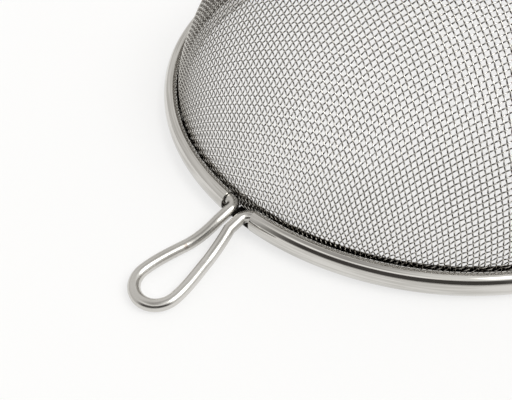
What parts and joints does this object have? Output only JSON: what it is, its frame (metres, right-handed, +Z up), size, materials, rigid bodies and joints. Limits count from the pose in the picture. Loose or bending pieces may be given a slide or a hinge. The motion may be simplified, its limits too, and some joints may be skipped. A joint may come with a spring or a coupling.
{
  "type": "mesh strainer",
  "caption": "Round wire-mesh kitchen strainer with a rolled steel rim, a teardrop wire resting ear and a straight steel handle with a hanging loop, standing dome up.",
  "frame": {"origin": "on the table, under the middle of the part's box; the bowl's axis is at X -67.35 mm", "axes": "+X from the resting ear to the hanging loop, +Z up from the table through the dome's crown"},
  "size_m": [0.3882, 0.18, 0.07],
  "materials": {
    "woven_steel": "bright drawn wire, woven",
    "polished_steel": "polished with fine rolling lines",
    "brushed_steel": "satin, brushed along the grip"
  },
  "bodies": {
    "root": {"mesh_basket": "woven_steel", "rim_liner": "polished_steel", "rim_band_left": "polished_steel", "rim_band_right": "polished_steel", "frame_rod": "polished_steel", "handle_collar": "polished_steel", "grip_tube": "brushed_steel", "grip_end_plug": "polished_steel", "hanging_loop": "polished_steel"}
  },
  "joints": []
}
